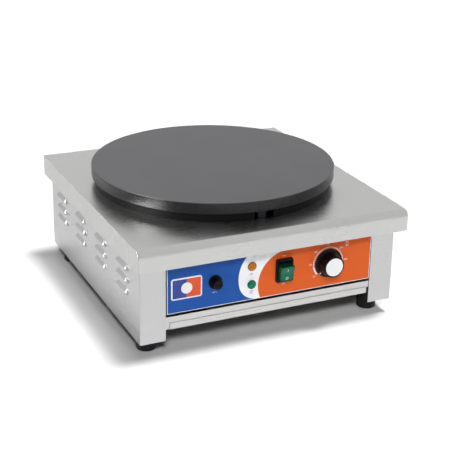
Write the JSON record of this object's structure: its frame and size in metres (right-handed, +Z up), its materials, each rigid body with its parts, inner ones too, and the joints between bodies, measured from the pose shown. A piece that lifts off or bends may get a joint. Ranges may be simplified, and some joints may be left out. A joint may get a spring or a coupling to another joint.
{
  "type": "electric crepe maker",
  "caption": "Square stainless-steel countertop electric crepe maker with a round cast-iron griddle plate, a front panel with switch, lamps, fuse holder and thermostat knob, and rubber feet.",
  "frame": {"origin": "on the resting surface, under the centre of the square top cover", "axes": "+Z up, +Y from the control panel to the rear panel, +X to the right of someone who faces the control panel"},
  "size_m": [0.45, 0.47, 0.215],
  "materials": {
    "stainless": "satin stainless sheet, brushed one way",
    "griddle_iron": "machined and seasoned cast iron, grey top with a darker edge",
    "collar_steel": "dark heat-proof paint",
    "support_steel": "turned steel, darkened by heat",
    "printed_facing": "printed polyester film: blue, white and orange fields",
    "badge_plastic": "printed plate, white border",
    "foot_rubber": "black rubber",
    "plated_steel": "zinc-plated steel",
    "tray_steel": "aluminised steel sheet",
    "reflector_aluminium": "bright aluminium sheet",
    "ceramic_wool": "white ceramic wool",
    "element_sheath": "heat-blackened nickel steel tube",
    "terminal_brass": "brass strip",
    "capillary_copper": "copper tube",
    "black_plastic": "black thermoplastic, fine grain",
    "knob_insert": "silver foil disc",
    "rocker_green": "dark green translucent plastic",
    "lens_amber": "amber translucent plastic",
    "lens_green": "green translucent plastic",
    "fitting_plastic": "cream thermoplastic",
    "control_housing": "dark phenolic housing",
    "fuse_glass": "clear glass tube with metal ends",
    "wire_insulation": "glass-braid and silicone insulation"
  },
  "bodies": {
    "root": {"badge": "badge_plastic", "base_pan": "stainless", "cable_gland": "black_plastic", "clamp_stud": "plated_steel", "control_panel": "stainless", "control_wires": "wire_insulation", "earth_nut": "plated_steel", "earth_stud": "plated_steel", "element_clamp": "plated_steel", "element_links": "terminal_brass", "foot_back_left": "foot_rubber", "foot_back_right": "foot_rubber", "foot_front_left": "foot_rubber", "foot_front_right": "foot_rubber", "foot_nuts": "plated_steel", "foot_screws": "plated_steel", "front_rail": "stainless", "fuse_holder": "black_plastic", "fuse_holder_nut": "black_plastic", "gland_nut": "black_plastic", "griddle_plate": "griddle_iron", "heater_tray": "tray_steel", "inner_element": "element_sheath", "insulation_blanket": "ceramic_wool", "lamp_body_amber": "fitting_plastic", "lamp_body_green": "fitting_plastic", "lamp_lens_amber": "lens_amber", "lamp_lens_green": "lens_green", "lamp_nuts": "plated_steel", "limiter_bulb": "capillary_copper", "mains_wires": "wire_insulation", "outer_element": "element_sheath", "overheat_limiter": "control_housing", "panel_facing": "printed_facing", "plate_collar": "collar_steel", "plate_studs": "plated_steel", "plate_support_front": "support_steel", "plate_support_rear_left": "support_steel", "plate_support_rear_right": "support_steel", "plate_washers": "plated_steel", "rear_panel": "stainless", "rear_panel_screws": "plated_steel", "reflector": "reflector_aluminium", "side_panel_left": "stainless", "side_panel_right": "stainless", "stud_nuts": "plated_steel", "switch_body": "black_plastic", "terminal_block": "fitting_plastic", "thermostat": "control_housing", "thermostat_bulb": "capillary_copper", "thermostat_screws": "plated_steel", "top_cover": "stainless", "tray_rivets": "plated_steel"},
    "knob": {"thermostat_shaft": "plated_steel", "knob": "black_plastic", "knob_cap": "knob_insert"},
    "rocker": {"switch_rocker": "rocker_green"},
    "fuse_carrier": {"fuse_carrier": "fitting_plastic", "fuse_cartridge": "fuse_glass"},
    "fuse_cap": {"fuse_cap": "black_plastic"}
  },
  "joints": [
    {"name": "knob_turn", "type": "hinge", "parent": "root", "child": "knob", "pos_m": [0.0975, -0.2137, 0.107], "axis": [0, 1, 0], "range_deg": [0, 220]},
    {"name": "switch_rock", "type": "hinge", "parent": "root", "child": "rocker", "pos_m": [0.0202, -0.2127, 0.109], "axis": [-1, 0, 0], "range_deg": [0, 24]},
    {"name": "fuse_carrier_pull", "type": "slide", "parent": "root", "child": "fuse_carrier", "axis": [0, -1, 0], "range_m": [0, 0.045]},
    {"name": "fuse_cap_turn", "type": "hinge", "parent": "fuse_carrier", "child": "fuse_cap", "pos_m": [-0.095, -0.2137, 0.1073], "axis": [0, -1, 0], "range_deg": [0, 90]}
  ]
}
